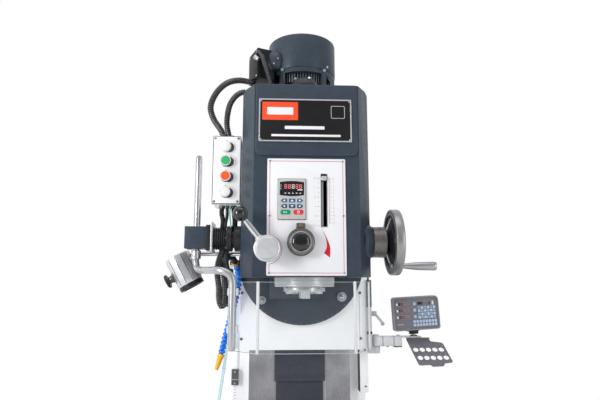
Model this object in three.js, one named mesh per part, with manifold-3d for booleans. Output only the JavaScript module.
// Benchtop milling machine: a bolt-down base with a compound table, a square column
// with dovetail ways, a carriage that climbs the column on a leadscrew, and a tilting
// milling head with a rack-fed quill, a geared spindle and a top-mounted motor.
// Millimetres, +Z up, +X to the operator's right, +Y away from the operator.
// The origin is on the underside of the base, straight below the spindle.
import * as THREE from "three";
import { mergeVertices } from "three/addons/utils/BufferGeometryUtils.js";
import Module from "manifold-3d";

const wasm = await Module();
wasm.setup();

// ---------------------------------------------------------------- driving dimensions
const GAP = 0.3; // standing gap between fitted pieces
const SIDES = [-1, 1]; // left and right, or front and rear

const BASE = { halfWidth: 250, front: -330, rear: 470, top: 120, wall: 15 };
const BED = { halfWidth: 110, top: 200 }; // guide bed the saddle rides on
const SADDLE = { halfWidth: 150, halfDepth: 130 };
const TABLE = { halfLength: 400, halfWidth: 120, seat: 262, top: 320 };
const X_SCREW_Z = 247;
const Y_SCREW_Z = 176;
const FEED_SCREW_R = 9; // both table screws
const FEED_BORE_R = FEED_SCREW_R + 2 * GAP;

const COLUMN = { halfWidth: 222, front: 305, rear: 450, foot: 150, top: 1130 };
const WAY = { face: 280, inner: 84, outer: 168, root: 148 }; // dovetail ways
const Z_SCREW = { y: 345, radius: 12, wheelZ: 240 };

const TILT_Z = 895; // axis of the tilting joint, along Y
const DISC = { radius: 198, front: 150, rear: 167.7 };
const CARRIAGE = {
  archRadius: 192, front: DISC.rear + 2 * GAP, bottom: 621, shoulder: 900, halfWidth: 216,
};
const READOUT_PIVOT = { x: 246, y: 225 };

const HEAD = { front: -130, frontHalfWidth: 143, halfWidth: 178, bottom: 843, top: 1369 };
const HEAD_LEFT = -HEAD.halfWidth - GAP; // mounting face of the pieces on the left side
const PANEL_BACK = HEAD.front - GAP; // mounting face of the pieces on the front
const QUILL = { radius: 45, bottom: 812, top: 1090 };
const FEED = { module: 2, teeth: 12, y: -53.4, z: 940, bossFace: 184 }; // quill pinion, along X
const GEAR = { module: 5, spindleTeeth: 35, motorTeeth: 17, bottom: 1238, top: 1256 };
const MOTOR_Y = (GEAR.module * (GEAR.spindleTeeth + GEAR.motorTeeth)) / 2;
const RANGE_LEVER = { x: -104, z: 914 };
const SPEED_KNOB = { x: -17, z: 932 };

// ---------------------------------------------------------------- geometry helpers
// A closed three.js geometry as a manifold solid, facing outwards.
function solid(geometry, matrix) {
  let bare = geometry.index ? geometry.toNonIndexed() : geometry;
  bare.deleteAttribute("normal");
  bare.deleteAttribute("uv");
  if (matrix) bare.applyMatrix4(matrix);
  bare = mergeVertices(bare, 1e-4);

  const triangles = [];
  for (let i = 0; i < bare.index.array.length; i += 3) {
    const corners = bare.index.array.slice(i, i + 3);
    if (new Set(corners).size === 3) triangles.push(...corners);
  }
  const build = () => new wasm.Manifold(new wasm.Mesh({
    numProp: 3,
    vertProperties: new Float32Array(bare.attributes.position.array),
    triVerts: new Uint32Array(triangles),
  }));
  const shape = build();
  if (shape.volume() >= 0) return shape;
  for (let i = 0; i < triangles.length; i += 3)
    [triangles[i + 1], triangles[i + 2]] = [triangles[i + 2], triangles[i + 1]];
  return build();
}

function geometryOf(shape) {
  const mesh = shape.getMesh();
  const indexed = new THREE.BufferGeometry();
  indexed.setAttribute("position", new THREE.BufferAttribute(mesh.vertProperties, 3));
  indexed.setIndex(new THREE.BufferAttribute(new Uint32Array(mesh.triVerts), 1));
  const flat = indexed.toNonIndexed();
  flat.computeVertexNormals();
  return flat;
}

const move = (x, y, z) => new THREE.Matrix4().makeTranslation(x, y, z);
const turnY = (angle) => new THREE.Matrix4().makeRotationY(angle);
const turnZ = (angle) => new THREE.Matrix4().makeRotationZ(angle);
const vector = (x, y, z) => new THREE.Vector3(x, y, z);
const polar = (radius, angle, x = 0, y = 0) =>
  [x + radius * Math.cos(angle), y + radius * Math.sin(angle)];

// Cuts made with these run past the faces they open, so that no skin is left.
const box = (x0, x1, y0, y1, z0, z1) => solid(
  new THREE.BoxGeometry(x1 - x0, y1 - y0, z1 - z0),
  move((x0 + x1) / 2, (y0 + y1) / 2, (z0 + z1) / 2));
// A box on one side of the YZ plane, between two distances from it.
const sideBox = (side, near, far, ...span) =>
  box(Math.min(side * near, side * far), Math.max(side * near, side * far), ...span);

// Cylinders along each axis; endRadius is the radius at the high end.
const cylZ = (radius, z0, z1, { x = 0, y = 0, sides = 12, endRadius = radius } = {}) => solid(
  new THREE.CylinderGeometry(endRadius, radius, z1 - z0, sides).rotateX(Math.PI / 2),
  move(x, y, (z0 + z1) / 2));
const cylY = (radius, y0, y1, { x = 0, z = 0, sides = 12, endRadius = radius } = {}) => solid(
  new THREE.CylinderGeometry(endRadius, radius, y1 - y0, sides),
  move(x, (y0 + y1) / 2, z));
const cylX = (radius, x0, x1, { y = 0, z = 0, sides = 12, endRadius = radius } = {}) => solid(
  new THREE.CylinderGeometry(endRadius, radius, x1 - x0, sides).rotateZ(-Math.PI / 2),
  move((x0 + x1) / 2, y, z));
const ball = (radius, x, y, z, sides = 10) =>
  solid(new THREE.SphereGeometry(radius, sides, Math.round(sides * 0.6)), move(x, y, z));

function extrude(outline, options) {
  const shape = new THREE.Shape(outline.map(([u, v]) => new THREE.Vector2(u, v)));
  shape.closePath();
  return new THREE.ExtrudeGeometry(shape, { ...options, bevelEnabled: false });
}
// Prisms along each axis, from outlines in (x, y), (x, z) and (y, z).
const prismZ = (outline, z0, z1) => solid(extrude(outline, { depth: z1 - z0 }), move(0, 0, z0));
const prismY = (outline, y0, y1) =>
  solid(extrude(outline, { depth: y1 - y0 }).rotateX(Math.PI / 2), move(0, y1, 0));
const prismX = (outline, x0, x1) => solid(
  extrude(outline, { depth: x1 - x0 }).applyMatrix4(
    new THREE.Matrix4().makeBasis(vector(0, 1, 0), vector(0, 0, 1), vector(1, 0, 0))),
  move(x0, 0, 0));

// Revolved about Z from an (r, z) profile that starts and ends on the axis or on itself.
const lathe = (profile, sides) => solid(new THREE.LatheGeometry(
  profile.map(([radius, z]) => new THREE.Vector2(radius, z)), sides).rotateX(Math.PI / 2));
const ring = (profile, sides) => lathe([...profile, profile[0]], sides);
const collar = (inner, outer, z0, z1, sides) =>
  ring([[inner, z0], [outer, z0], [outer, z1], [inner, z1]], sides);

// A rod along a smooth path.
function rod(points, radius, steps, sides = 8) {
  const path = points.map((point) => vector(...point));
  const section = Array.from({ length: sides }, (_, i) => polar(radius, (2 * Math.PI * i) / sides));
  return solid(extrude(section, {
    steps,
    extrudePath: new THREE.CatmullRomCurve3(path, false, "centripetal"),
  }));
}

// Rounded rectangle, with one radius for the lower corners and one for the upper.
function roundRect(x0, x1, z0, z1, steps, lower, upper = lower) {
  const corners = [ // centre x, centre z, radius, start angle in degrees
    [x0 + lower, z0 + lower, lower, 180],
    [x1 - lower, z0 + lower, lower, 270],
    [x1 - upper, z1 - upper, upper, 0],
    [x0 + upper, z1 - upper, upper, 90],
  ];
  return corners.flatMap(([x, z, radius, start]) => Array.from({ length: steps + 1 }, (_, k) =>
    polar(radius, ((start + (90 * k) / steps) * Math.PI) / 180, x, z)));
}

// One tooth repeated round a circle; tooth points are (radius, fraction of a pitch).
function toothedOutline(count, tooth, startAngle = 0) {
  const step = (2 * Math.PI) / count;
  const points = [];
  for (let i = 0; i < count; i++)
    for (const [radius, fraction] of tooth)
      points.push(polar(radius, startAngle + (i + fraction) * step));
  return points;
}
// Spur gear outline; startAngle is the angle of a tooth centre.
function gearOutline(teeth, module, startAngle) {
  const root = module * (teeth / 2 - 1.25);
  const tip = module * (teeth / 2 + 0.85);
  const tooth = [[root, -0.3], [tip, -0.11], [tip, 0.11], [root, 0.3]];
  return toothedOutline(teeth, tooth, startAngle);
}

// Handwheel about local +Z: rim, three spokes and a hub.
function handwheel({ radius, rim, width, hubRadius, hubBack, hubFront, sides = 16 }) {
  const rimInner = radius - rim;
  let wheel = ring([
    [rimInner, 1], [radius - 2, 0], [radius, 4],
    [radius, width - 4], [radius - 4, width], [rimInner, width - 1],
  ], sides);
  wheel = wheel.add(cylZ(hubRadius, hubBack, hubFront));
  const slope = -Math.atan2(width / 2 - hubBack - 6, rimInner - hubRadius) * 0.6;
  for (let i = 0; i < 3; i++) {
    const placement = turnZ((i * 2 * Math.PI) / 3 + Math.PI / 6)
      .multiply(move((rimInner + hubRadius) / 2, 0, (hubBack + width) / 2))
      .multiply(turnY(slope));
    wheel = wheel.add(solid(new THREE.BoxGeometry(rimInner - hubRadius + 14, 15, 8), placement));
  }
  return wheel;
}
// Turned crank grip about local Z.
const crankGrip = (z0, z1, radius) => lathe([
  [0, z0], [radius * 0.62, z0], [radius * 0.8, z0 + 12],
  [radius, z0 + (z1 - z0) * 0.45], [radius * 0.7, z1], [0, z1],
], 10);

// ---------------------------------------------------------------- finishes
const slate = { color: 0x3d4a57, roughness: 0.42, metalness: 0.1 };
const white = { color: 0xe9ebec, roughness: 0.4, metalness: 0.05 };
const steel = { color: 0xb9bcc0, roughness: 0.3, metalness: 0.95 };
const darkSteel = { color: 0x5c5a57, roughness: 0.4, metalness: 0.9 };
const chrome = { color: 0xdadde0, roughness: 0.12, metalness: 1 };
const iron = { color: 0x8d9094, roughness: 0.45, metalness: 0.85 };
const aluminium = { color: 0xc9ccd0, roughness: 0.35, metalness: 0.9 };
const black = { color: 0x17181a, roughness: 0.45, metalness: 0.05 };
const rubber = { color: 0x24262b, roughness: 0.8, metalness: 0 };
const grey = { color: 0x8b8d93, roughness: 0.5, metalness: 0.2 };
const bronze = { color: 0xa97f3f, roughness: 0.35, metalness: 0.9 };
const blueHose = { color: 0x1f6fd6, roughness: 0.35, metalness: 0 };
const clearTube = {
  color: 0xcfe6e8, roughness: 0.15, metalness: 0, transparent: true, opacity: 0.5,
};
const clearScreen = {
  color: 0xe8eef0, roughness: 0.06, metalness: 0, transparent: true, opacity: 0.25,
};
const buttonFinish = (color) => ({ color, roughness: 0.35, metalness: 0 });

// ---------------------------------------------------------------- assembly
const machine = new THREE.Group();

function group(parent, x = 0, y = 0, z = 0) {
  const child = new THREE.Group();
  child.position.set(x, y, z);
  parent.add(child);
  return child;
}
function add(parent, name, finish, shape) {
  const mesh = new THREE.Mesh(geometryOf(shape), new THREE.MeshStandardMaterial(finish));
  mesh.name = name;
  parent.add(mesh);
  return mesh;
}

// ================================================================ base and column
function baseCasting() {
  const { halfWidth, front, rear, top, wall } = BASE;
  let base = box(-halfWidth, halfWidth, front, rear, 0, top);
  for (const side of SIDES) // open pockets underneath
    base = base.subtract(
      sideBox(side, 40, halfWidth - wall, front + wall, rear - wall, -1, top - 22));
  return base
    .add(box(-BED.halfWidth, BED.halfWidth, front + 10, 255, top - 5, BED.top))
    .subtract(box(-30, 30, front + 30, 240, 148, BED.top + 1)) // screw trough
    .subtract(cylY(FEED_BORE_R, front, front + 31, { z: Y_SCREW_Z }))
    .add(box(-215, 215, 262, rear - 5, top - 5, COLUMN.foot));
}

function columnCasting() {
  const { halfWidth, front, rear, foot, top } = COLUMN;
  let column = box(-halfWidth, halfWidth, front, rear, foot + GAP, top)
    .subtract(box(-200, 200, front + 16, rear - 16, foot - 1, top - 20));
  for (const side of SIDES)
    column = column.add(prismZ([
      [side * WAY.inner, front + 2], [side * WAY.inner, WAY.face], [side * WAY.outer, WAY.face],
      [side * WAY.root, front], [side * WAY.root, front + 2],
    ], foot + GAP, top));
  return column
    .subtract(box(-WAY.inner, WAY.inner, front - 1, front + 17, 178, top - 30))
    .subtract(cylX(10.5, 190, halfWidth + 1, { y: Z_SCREW.y, z: Z_SCREW.wheelZ }));
}

const electricalCabinet = () => box(-150, 150, COLUMN.rear + GAP, 565, 600, 1000)
  .add(box(-142, 142, 564, 572, 608, 992)) // door leaf
  .add(box(118, 132, 571, 582, 780, 830)); // door latch

// Screw with the larger bevel gear near its foot.
const zLeadscrew = () => cylZ(Z_SCREW.radius, 160, 1100)
  .add(cylZ(30, 186, 206, { endRadius: 22 }))
  .add(cylZ(18, 160, 187));

// Wheel, cross shaft, bevel pinion and crank grip about local Z.
const zHandwheel = () =>
  handwheel({ radius: 76, rim: 13, width: 18, hubRadius: 18, hubBack: -14, hubFront: 12 })
    .add(cylZ(10, -206, 4))
    .add(cylZ(16, -208, -190, { endRadius: 22 }))
    .add(crankGrip(16, 82, 11).translate([62, 0, 0]));

add(machine, "base_casting", slate, baseCasting());
add(machine, "column_casting", white, columnCasting());
add(machine, "column_way_cover", rubber,
  box(-78, 78, 285, 288, COLUMN.foot + 2, COLUMN.top - 5));
add(machine, "electrical_cabinet", white, electricalCabinet());
add(group(machine, 0, Z_SCREW.y, 0), "z_leadscrew", steel, zLeadscrew());
const zWheel = group(machine, 240, Z_SCREW.y, Z_SCREW.wheelZ);
zWheel.rotation.y = Math.PI / 2; // wheel axis along X
add(zWheel, "z_handwheel", darkSteel, zHandwheel());

// ================================================================ saddle and table
function saddleCasting() {
  const { halfWidth, halfDepth } = SADDLE;
  const bedClearance = BED.halfWidth + 0.4;
  return box(-halfWidth, halfWidth, -halfDepth, halfDepth, 172, 238)
    .subtract(box(
      -bedClearance, bedClearance, -halfDepth - 1, halfDepth + 1, 171, BED.top + 0.4))
    .add(prismX( // dovetail
      [[-72, 237], [72, 237], [84, TABLE.seat], [-84, TABLE.seat]], -halfWidth, halfWidth))
    .subtract(box(-halfWidth - 1, halfWidth + 1, -14, 14, 233, TABLE.seat + 1)) // screw channel
    .add(box(-16, 16, -15, 15, 232, 260)) // nut for the cross screw
    .subtract(cylX(FEED_BORE_R, -17, 17, { z: X_SCREW_Z }));
}

const yFeedNut = () => box(-22, 22, -24, 24, 156, BED.top)
  .subtract(cylY(FEED_BORE_R, -25, 25, { z: Y_SCREW_Z }));

const tableEndPlate = (x0, x1) => box(x0, x1, -62, 62, 226, 288)
  .subtract(cylX(10.4, x0 - 1, x1 + 1, { z: X_SCREW_Z }));

function tableCasting() {
  const { halfLength, halfWidth, seat, top } = TABLE;
  let table = box(-halfLength, halfLength, -halfWidth, halfWidth, seat + 0.4, top);
  for (const side of SIDES) // dovetail cheeks
    table = table.add(prismX([
      [side * 74.2, 240], [side * 108, 240], [side * 108, seat + 2],
      [side * 84.9, seat + 2], [side * 84.9, seat + 0.4],
    ], -330, 330));
  for (const y of [-64, 0, 64]) // T-slots
    table = table
      .subtract(box(-halfLength - 1, halfLength + 1, y - 7, y + 7, 300, top + 1))
      .subtract(box(-halfLength - 1, halfLength + 1, y - 12, y + 12, 292, 302));
  return table.add(tableEndPlate(-halfLength - 20, -halfLength + 2)); // cast-on left end plate
}

// Wheel, screw and grip of a table feed, about local Z.
const feedWheel = (hubBack, screwEnd) =>
  handwheel({ radius: 66, rim: 12, width: 16, hubRadius: 17, hubBack, hubFront: 10 })
    .add(cylZ(FEED_SCREW_R, screwEnd, 0));
const feedGrip = (x) => crankGrip(14, 74, 10).translate([x, 0, 0]);

add(machine, "saddle_casting", slate, saddleCasting());
add(machine, "y_feed_nut", bronze, yFeedNut());
add(machine, "table", iron, tableCasting());
add(machine, "table_end_bracket", slate,
  tableEndPlate(TABLE.halfLength + GAP, TABLE.halfLength + 20));
const xFeed = group(machine, TABLE.halfLength + 36, 0, X_SCREW_Z);
xFeed.rotation.y = Math.PI / 2;
add(xFeed, "x_feed_screw", steel,
  feedWheel(-12, -850).add(collar(8, 24, -15.5, -11, 12)).add(feedGrip(54)));
const yFeed = group(machine, 0, BASE.front - 18, Y_SCREW_Z);
yFeed.rotation.x = Math.PI / 2;
add(yFeed, "y_feed_screw", steel, feedWheel(-10, -578).add(feedGrip(-54)));

// ================================================================ carriage on the column
const FLAP_TOP = CARRIAGE.bottom - GAP;

function carriageCasting() {
  const { archRadius, front, bottom, shoulder, halfWidth } = CARRIAGE;
  const arch = [[-archRadius, bottom], [archRadius, bottom]];
  for (let i = 0; i <= 16; i++) arch.push(polar(archRadius, (Math.PI * i) / 16, 0, TILT_Z));
  const rear = WAY.face - 0.4;
  const hookRear = COLUMN.front - 0.6;
  const hookX = WAY.outer + 1;
  let body = prismY(arch, front, 215)
    .add(box(-halfWidth, halfWidth, 214, rear, bottom, shoulder))
    .add(box(-150, 150, 214, rear, shoulder - 1, 1020));
  for (const side of SIDES) // wings that hook behind the dovetail ways
    body = body.add(prismZ([
      [side * hookX, WAY.face - 1], [side * halfWidth, WAY.face - 1],
      [side * halfWidth, hookRear], [side * 149.3, hookRear], [side * hookX, rear],
    ], bottom, shoulder));
  return body.subtract(box(-76, 76, 216, WAY.face + 1, 660, 1000));
}

// Bracket that reaches past both edges of the way cover to the leadscrew nut.
function zNutBracket() {
  let nut = box(-83.2, 83.2, 322, 332, 700, 760);
  for (const side of SIDES) nut = nut.add(sideBox(side, 79, 83.2, WAY.face, 325, 700, 760));
  return nut.add(box(-28, 28, 322, 372, 700, 760))
    .subtract(cylZ(Z_SCREW.radius + 0.5, 699, 761, { y: Z_SCREW.y }));
}

const readoutBracket = () => box(CARRIAGE.halfWidth + GAP, 231, 205, 245, CARRIAGE.bottom, 836)
  .add(cylZ(14, 603, 624, READOUT_PIVOT))
  .add(box(220, READOUT_PIVOT.x, 212, 238, 603, 624));

const COOLANT_HOSE_PATH = [ // x, y, z
  [-207, 174, 884], [-213, 160, 868], [-212, 154, 830], [-217, 157, 765],
  [-225, 163, 706], [-238, 168, 658], [-249, 170, 608],
];
const SUPPLY_TUBE_PATH = [ // x, y, z
  [-224, 196, 890], [-229, 195, 850], [-231, 195, 800],
  [-229, 191, 690], [-236, 190, 604], [-254, 190, 470],
];
// Block on the carriage, hose, and a tapered outlet leaning outwards.
function coolantHose() {
  const lean = new THREE.Matrix4()
    .makeBasis(vector(0.957, 0, -0.29), vector(0.29, 0, 0.957), vector(0, -1, 0));
  const nozzle = solid(
    new THREE.CylinderGeometry(10.5, 6.5, 50, 12), move(-256, 170, 586).multiply(lean));
  return box(-216, -192.3, 172, 206, 872, 900)
    .add(rod(COOLANT_HOSE_PATH, 9, 10))
    .add(nozzle);
}

const carriageLockLever = () => cylX(8, 231.5, 250)
  .add(rod([[244, 0, 0], [256, -3, -14], [268, -7, -31]], 4.2, 5))
  .add(ball(6.5, 269, -7.4, -32.5));

add(machine, "carriage_casting", white, carriageCasting());
add(machine, "z_nut_bracket", bronze, zNutBracket());
add(machine, "way_wiper_flap", rubber, box(-83, 83, 271, 274, 508, FLAP_TOP));
add(machine, "scale_cover", white, box(200, 228, 272, 302, 471, FLAP_TOP));
add(machine, "readout_bracket", grey, readoutBracket());
add(machine, "coolant_hose", blueHose, coolantHose());
add(machine, "coolant_supply_tube", clearTube,
  rod(SUPPLY_TUBE_PATH, 5, 8, 6).add(box(-228, -216.4, 190, 202, 884, 896)));
// The clamp lever turns about X.
add(group(machine, 0, 225, 728), "carriage_lock_lever", chrome, carriageLockLever());

// ---------------------------------------------------------------- readout arm and tray
const CONSOLE_X = 126; // console post, from the arm's pivot
const TRAY_OUTLINE = [ // x, y
  [0, 0], [76, 0], [78, -10], [116, -16], [128, -94],
  [100, -98], [96, -108], [60, -110], [54, -103], [18, -105],
];

const readoutArm = () => cylZ(14.4, 625, 656)
  .add(box(0, 84, -14, 14, 625, 656))
  .add(box(83, 148, -14, 14, 650.5, 656))
  .add(cylZ(7, 655, 661, { x: CONSOLE_X }));

// Thin plate with two staggered rows of five holes.
function toolTray() {
  let tray = prismZ(TRAY_OUTLINE, 0, 2);
  for (let row = 0; row < 2; row++)
    for (let k = 0; k < 5; k++)
      tray = tray.subtract(
        cylZ(8.4, -2, 4, { x: 22 + k * 20.5 + row * 7, y: -(44 + row * 32), sides: 8 }));
  return tray;
}

const readoutConsole = () => prismY(roundRect(-77, 81, 9, 116, 3, 8), -34, 2)
  .add(box(-10, 10, -6, 6, 0, 10))
  .add(cylX(6, -14, 14));

const readout = group(machine, READOUT_PIVOT.x, READOUT_PIVOT.y, 0);
add(readout, "readout_arm", aluminium, readoutArm());
const tray = add(readout, "tool_tray", grey, toolTray());
tray.position.set(97, -11, 646);
tray.rotation.x = 0.73;
const consoleMount = group(readout, CONSOLE_X, 0, 668);
consoleMount.rotation.z = 0.12;
add(consoleMount, "readout_console", grey, readoutConsole()).rotation.y = -0.05;

// ================================================================ milling head
const head = group(machine);

// Eight-sided plan of the head, drawn in by an inset.
function headOutline(inset, front, rear) {
  const frontX = HEAD.frontHalfWidth - inset * 0.6;
  const sideX = HEAD.halfWidth - inset;
  const rearX = 150 - inset * 0.6;
  const sideFront = -75 + inset * 0.3;
  return [
    [-frontX, front], [frontX, front], [sideX, sideFront], [sideX, 70],
    [rearX, rear], [-rearX, rear], [-sideX, 70], [-sideX, sideFront],
  ];
}

// Hollow shell with the gear chamber and the openings behind the front pieces.
function headShell() {
  const { front, bottom, top } = HEAD;
  return prismZ(headOutline(0, front, 100), bottom, top)
    .add(box(-110, 110, 95, 190, 1120, top)) // gear chamber over the swivel
    .subtract(prismZ(headOutline(12, front + 11, 88), bottom + 15, top - 14))
    .subtract(box(-99, 99, 80, 179, 1131, top - 14))
    .subtract(box(-84, 95, front - 1, front + 12, 880, 1148)) // behind the control panel
    .subtract(box(-118, 118, front - 1, front + 12, 1180, 1345)); // behind the front cover
}

function headCasting() {
  const { front, halfWidth, bottom, top } = HEAD;
  const feedAxis = { y: FEED.y, z: FEED.z };
  let shell = headShell()
    .add(cylZ(60, bottom, 915, { sides: 16 })) // quill guide
    .subtract(cylZ(QUILL.radius + 0.4, bottom - 1, 916, { sides: 20 }))
    .add(cylZ(54, 1326, top, { sides: 16 })) // drive sleeve bearing seat
    .subtract(cylZ(40.4, 1325, 1350, { sides: 16 }))
    .subtract(cylZ(32, 1340, top + 1))
    .subtract(cylZ(15, top - 20, top + 1, { y: MOTOR_Y })) // motor shaft hole
    .add(cylX(50, 160, FEED.bossFace, { ...feedAxis, sides: 16, endRadius: 44 }))
    .subtract(box(100, 166, -88, 10, 880, 1000))
    .subtract(cylX(8.6, 160, 186, feedAxis))
    .subtract(cylY(10.5, front - 1, front + 13, RANGE_LEVER));
  for (const side of SIDES) { // bevels along the two top side edges
    const placement = move(side * halfWidth, 0, top)
      .multiply(turnY(Math.PI / 4))
      .multiply(move(side * 14, 0, 14));
    shell = shell.subtract(solid(new THREE.BoxGeometry(40, 500, 40), placement));
  }
  return shell;
}

const swivelNeck = () => box(-100, 98, 100 + GAP, DISC.front + 2, 780, 1112)
  .subtract(box(-80, 78, 99, 138, 880, 1090))
  .add(cylY(DISC.radius, DISC.front, DISC.rear, { z: TILT_Z, sides: 48 }))
  .intersect(box(-300, 300, 0, 300, 600, 1112)); // flat top under the gear chamber

const controlPanel = () => prismY(roundRect(-106, 104, 846, 1158, 2, 3), -133.3, PANEL_BACK)
  .subtract(cylY(42, -135, -129, { ...RANGE_LEVER, sides: 16 }))
  .subtract(box(38, 54, -135, -129, 974, 1116)) // slot for the depth pointer
  .subtract(cylY(7, -135, -129, SPEED_KNOB));

function spindleNoseRing() {
  const inner = QUILL.radius + 1;
  const top = HEAD.bottom - GAP;
  return ring([[inner, 817], [84, 817], [86, 820], [86, top], [inner, top]], 24);
}

const drawbarCap = () => lathe([
  [0, 1369.4], [46, 1369.4], [46, 1408], [41, 1428], [27, 1440], [0, 1444],
], 20).subtract(cylZ(36, HEAD.top, 1400));

const COVER_FRONT = -137;
add(head, "head_casting", slate, headCasting());
add(head, "swivel_neck", slate, swivelNeck());
add(head, "front_cover", slate,
  prismY(roundRect(-139, 139, 1166, 1368, 4, 16, 3), COVER_FRONT, PANEL_BACK));
add(head, "nameplate", black,
  prismY(roundRect(-130, 122, 1204, 1324, 2, 3), -139.5, COVER_FRONT - GAP));
add(head, "control_panel", white, controlPanel());
add(head, "keypad", grey, prismY(roundRect(-77, -3, 992, 1102, 1, 2), -138, -133.6));
add(head, "spindle_nose_ring", aluminium, spindleNoseRing());
add(head, "drive_sleeve_bearing", steel, collar(28.9, 40, 1328, 1349, 16));
add(head, "drawbar_cap", black, drawbarCap());

// ---------------------------------------------------------------- quill and spindle
const RACK = { bottom: 925, top: 1078 };

// Rack outline in (y, z), with a tooth gap facing each pinion tooth.
function rackOutline(tip, root) {
  const { bottom, top } = RACK;
  const pitch = Math.PI * FEED.module;
  const outline = [[root + 1.5, bottom + 0.01], [root, bottom + 0.01]];
  for (let k = Math.ceil((bottom - FEED.z + 3) / pitch); FEED.z + k * pitch < top - 3; k++) {
    const z = FEED.z + k * pitch;
    outline.push([root, z - 0.3 * pitch], [tip, z - 0.11 * pitch]);
    outline.push([tip, z + 0.11 * pitch], [root, z + 0.3 * pitch]);
  }
  outline.push([root, top - 0.01], [root + 1.5, top - 0.01]);
  return outline;
}

function quillBody() {
  const tip = FEED.y + (FEED.teeth * FEED.module) / 2 - 1.6;
  const root = tip + 4.1;
  return cylZ(QUILL.radius, QUILL.bottom + 5.3, QUILL.top, { sides: 20 })
    .subtract(box(-13, 13, -60, root, RACK.bottom, RACK.top))
    .add(prismX(rackOutline(tip, root), -12.9, 12.9))
    .subtract(cylZ(34, QUILL.bottom + 5, QUILL.top + 1, { sides: 16 }));
}

// Collar on top of the quill with the arm that carries the depth pointer.
const depthPointer = () => cylZ(QUILL.radius - 1, QUILL.top + GAP, 1112, { sides: 16 })
  .add(box(38, 51, -139, 0, 1100, 1108))
  .subtract(cylZ(22, 1080, 1120))
  .add(box(39.5, 52.5, -139, -134, 1098, 1110));

function spindleBody() {
  let spindle = cylZ(19.8, QUILL.bottom, 1175, { sides: 16 })
    .add(cylZ(60, 803, 816.6, { sides: 24 }))
    .add(cylZ(18, 1170, 1345, { sides: 16 }));
  for (const side of SIDES) // driving flats
    spindle = spindle.subtract(sideBox(side, 16, 30, -30, 30, 1176, 1346));
  for (const side of SIDES)
    spindle = spindle
      .add(cylZ(18, 797, 804, { x: side * 35 })) // nose bosses
      .add(box(-13, 13, side * 38 - 14, side * 38 + 14, 785, 804)); // drive keys
  return spindle
    .subtract(cylZ(15.6, 780, 880, { endRadius: 12 }))
    .subtract(cylZ(8.6, 870, 1350));
}

function driveSleeveGear() {
  let bore = cylZ(18.5, 1170, 1360, { sides: 16 });
  for (const side of SIDES) bore = bore.subtract(sideBox(side, 16.5, 30, -30, 30, 1170, 1360));
  const outline = gearOutline(GEAR.spindleTeeth, GEAR.module, Math.PI / 2);
  return cylZ(28, 1180, 1352, { sides: 16 })
    .add(prismZ(outline, GEAR.bottom, GEAR.top))
    .subtract(bore);
}

const quill = group(head);
add(quill, "quill", steel, quillBody());
add(quill, "quill_bearing_lower", steel, collar(20.6, 33.2, 822, 846, 16));
add(quill, "quill_bearing_upper", steel, collar(20.6, 33.2, 1060, 1080, 16));
add(quill, "depth_pointer", aluminium, depthPointer());
add(quill, "spindle", steel, spindleBody());
add(quill, "drawbar", darkSteel, cylZ(8, 884, 1350).add(cylZ(14, 1345.4, 1358)));
add(head, "drive_sleeve_gear", darkSteel, driveSleeveGear());

// ---------------------------------------------------------------- quill feed
const CRANK_X = 66; // crank grip, from the wheel's axis

// Shaft along X with its pinion, and a dial turned from Z onto X.
function feedShaftAndDial() {
  const dial = ring([[7.5, 0], [40, 0], [43, 3], [43, 36], [40, 39], [7.5, 39]], 16)
    .rotate([0, 90, 0])
    .translate([FEED.bossFace + 2 * GAP, 0, 0]);
  return cylX(8, -60, 238)
    .add(prismX(gearOutline(FEED.teeth, FEED.module, Math.PI / FEED.teeth), -12, 12))
    .add(dial);
}

function quillHandwheel() {
  const gripBoss = cylZ(15, 2, 23, { x: CRANK_X + 8 })
    .subtract(cylZ(5.4, -5, 30, { x: CRANK_X }))
    .intersect(cylZ(88, 0, 25, { sides: 20 }));
  return handwheel({
    radius: 92, rim: 16, width: 25, hubRadius: 22, hubBack: -12, hubFront: 8, sides: 20,
  })
    .subtract(cylZ(8.3, -13, 9)) // bored for the feed shaft
    .subtract(cylZ(6.4, -5, 30, { x: CRANK_X + 12 }))
    .add(gripBoss);
}

const feedAssembly = group(head, 0, FEED.y, FEED.z);
add(feedAssembly, "feed_shaft_and_dial", darkSteel, feedShaftAndDial());
const quillWheel = group(feedAssembly, 236, 0, 0);
quillWheel.rotation.y = Math.PI / 2;
add(quillWheel, "quill_handwheel", darkSteel, quillHandwheel());
add(group(quillWheel, CRANK_X, 0, 0), "quill_crank_grip", aluminium,
  crankGrip(26, 130, 12).add(cylZ(5, 6, 30)));

// ---------------------------------------------------------------- front controls
function rangeLever() {
  const tip = { x: -69, z: 88 };
  const reach = Math.hypot(tip.x, tip.z);
  const path = [[22, -170], [60, -172], [98, -174]] // distance from the pivot, y
    .map(([distance, y]) => [(tip.x / reach) * distance, y, (tip.z / reach) * distance]);
  return cylY(10, -172, -112)
    .add(cylY(34, -185, -158, { sides: 20 }))
    .add(cylY(27, -190, -184, { sides: 16 }))
    .add(rod(path, 7.5, 2, 10))
    .add(ball(19.5, tip.x, -174, tip.z, 14));
}

const speedKnob = () => cylY(36, -160, -137, { sides: 20 })
  .add(cylY(25, -168, -159, { sides: 16, endRadius: 27 }))
  .add(cylY(6, -138, -120));

add(group(head, RANGE_LEVER.x, 0, RANGE_LEVER.z), "range_lever", aluminium, rangeLever());
add(group(head, SPEED_KNOB.x, 0, SPEED_KNOB.z), "speed_knob", darkSteel, speedKnob());

// ---------------------------------------------------------------- push-button station
const BUTTON_X = -224;
const BUTTONS = [ // name, z, colour
  ["push_button_upper", 1166, 0x1c9a5b],
  ["push_button_middle", 1122, 0xe5532d],
  ["push_button_lower", 1077, 0xeeeeec],
];

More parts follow.
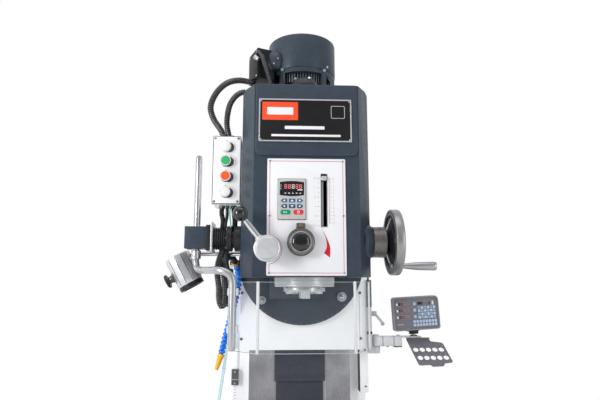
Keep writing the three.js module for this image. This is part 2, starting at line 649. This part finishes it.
function buttonStation() {
  let station = prismY(roundRect(-261, -183, 1045, 1240, 2, 3), -60, 40)
    .add(box(-184, HEAD_LEFT, -40, 30, 1080, 1210));
  for (const [, z] of BUTTONS) // bezels
    station = station
      .add(cylY(14, -66, -58, { x: BUTTON_X, z }))
      .subtract(cylY(11.4, -70, -50, { x: BUTTON_X, z }));
  return station.add(cylY(13, -72, -58, { x: BUTTON_X, z: 1208 })); // fixed round cap on top
}

add(head, "button_station", white, buttonStation());
for (const [name, z, color] of BUTTONS)
  add(group(head, BUTTON_X, 0, z), name, buttonFinish(color), cylY(11, -76, -56));

// ---------------------------------------------------------------- motor
// Everything here is centred on the motor axis, so the spindle lies at -MOTOR_Y.
const CONDUIT_PATH = [ // x, y, z
  [-172, 52, 1452], [-205, 30, 1446], [-238, 8, 1425], [-266, -3, 1388],
  [-279, -10, 1344], [-268, -12, 1305], [-246, -14, 1272], [-236, -15, 1244],
];

// Two rings joined by four posts, cut away round the drawbar cap.
function motorMount() {
  let mount = collar(64, 106, HEAD.top + GAP, 1384, 20).add(collar(95, 109, 1478, 1492.7, 20));
  for (const [x, y] of [[-66, -84], [66, -84], [-66, 80], [66, 80]])
    mount = mount.add(box(x - 8, x + 8, y - 8, y + 8, 1380, 1482));
  return mount
    .subtract(cylZ(49, 1360, 1460, { y: -MOTOR_Y, sides: 16 }))
    .subtract(cylZ(93, 1385, 1500, { sides: 20 }))
    .intersect(cylZ(109, 1360, 1500, { sides: 20 }));
}

function motorStator() {
  const fins = toothedOutline(20, [[80, -0.24], [92, -0.17], [92, 0.17], [80, 0.24]]);
  return prismZ(fins, 1402, 1492.6)
    .add(cylZ(62, 1384.4, 1404, { sides: 16, endRadius: 78 }))
    .subtract(cylZ(47.4, 1380, 1446, { y: -MOTOR_Y, sides: 16 }))
    .subtract(cylZ(50, 1396, 1500, { sides: 16 }))
    .subtract(cylZ(13, 1380, 1400));
}

function motorRotorAndFan() {
  const meshAngle = -Math.PI / 2 + Math.PI / GEAR.motorTeeth; // tooth gap towards the spindle
  const outline = gearOutline(GEAR.motorTeeth, GEAR.module, meshAngle);
  let rotor = cylZ(12, 1226, 1530)
    .add(cylZ(48.5, 1402, 1486, { sides: 16 }))
    .add(prismZ(outline, GEAR.bottom, GEAR.top))
    .add(cylZ(26, 1506, 1526)); // fan hub
  for (let i = 0; i < 6; i++) {
    const placement = turnZ((i * Math.PI) / 3).multiply(move(54, 0, 1518));
    rotor = rotor.add(solid(new THREE.BoxGeometry(64, 3, 30), placement));
  }
  return rotor;
}

const fanCowl = () => lathe([
  [0, 1605], [99, 1605], [110, 1596], [110, 1493.2], [107, 1493.2], [107, 1594], [0, 1601],
], 28);

const motor = group(head, 0, MOTOR_Y, 0);
add(motor, "motor_mount", slate, motorMount());
add(motor, "motor_stator", black, motorStator());
add(motor, "motor_rotor_and_fan", darkSteel, motorRotorAndFan());
add(motor, "fan_cowl", slate, fanCowl());
const terminal = group(motor);
terminal.rotation.z = -2.75; // outward direction of the terminal box
add(terminal, "terminal_box", black,
  box(114, 172, -40, 40, 1458, 1556).add(box(93, 116, -20, 20, 1458, 1477)));
add(head, "motor_conduit", black, rod(CONDUIT_PATH, 8.5, 12));

// ---------------------------------------------------------------- work lamp
const LAMP_ARM = { y: 50, z: 912 };

const lampArm = () => cylX(7, -305, HEAD_LEFT, LAMP_ARM)
  .add(cylX(22, -186, HEAD_LEFT, LAMP_ARM))
  .add(ball(8, -306, LAMP_ARM.y, LAMP_ARM.z));

const lampHead = () => cylZ(38, -44, 46, { sides: 16 })
  .add(cylZ(36, -56, -43, { sides: 16 }))
  .subtract(cylZ(31, -60, -46))
  .add(cylX(7, 37, 48, { z: 26 }))
  .add(box(44, 50, -9, 9, 16, 36))
  .add(cylX(10, -52, -37, { z: -8 }))
  .add(cylX(20, -60, -51, { z: -8 }));

add(head, "lamp_arm", black, lampArm());
const lamp = group(head, -350, LAMP_ARM.y, 865.5);
lamp.rotation.y = -0.503; // lamp axis leans in the XZ plane
add(lamp, "lamp_head", aluminium, lampHead());

// ---------------------------------------------------------------- cutter guard
const GUARD = { y: -30, z: 950 }; // pivot axis, along X
const GUARD_ROD_PATH = [ // x, y, z from the pivot
  [-304, 0, 238], [-304, 0, 120], [-304, 0, 40], [-304, 0, -20], [-304, 0, -46],
  [-303, -4, -66], [-294, -18, -85], [-262, -92, -90], [-230, -146, -91],
  [-206, -160, -95], [-190, -161, -108], [-186, -161, -130], [-186, -161, -185],
  [-186, -161, -284],
];
const GUARD_SCREEN_OUTLINE = [ // x, y from the pivot: outer face, then back along the inner
  [-197, -130], [-126, -200], [112, -200], [155, -135],
  [151.7, -132.8], [109.9, -196], [-124.3, -196], [-194.2, -127.2],
];

const guardPivotHousing = () => cylX(26, -262, HEAD_LEFT, { ...GUARD, sides: 16 })
  .add(box(-274.6, -262, -62, 2, 916, 986))
  .add(cylX(33, -216, -204, { ...GUARD, sides: 16 }))
  .add(cylX(33, -196, HEAD_LEFT, { ...GUARD, sides: 16 }));

add(head, "guard_pivot_housing", black, guardPivotHousing());
const guard = group(head, 0, GUARD.y, GUARD.z);
add(guard, "guard_clamp_block", slate,
  box(-333, -275, -30, 30, -29, 32).subtract(cylZ(11.2, -40, 40, { x: -304 })));
add(guard, "guard_rod", chrome, rod(GUARD_ROD_PATH, 9.4, 28));
add(guard, "guard_screen", clearScreen, prismZ(GUARD_SCREEN_OUTLINE, -286, -120));

export default machine;
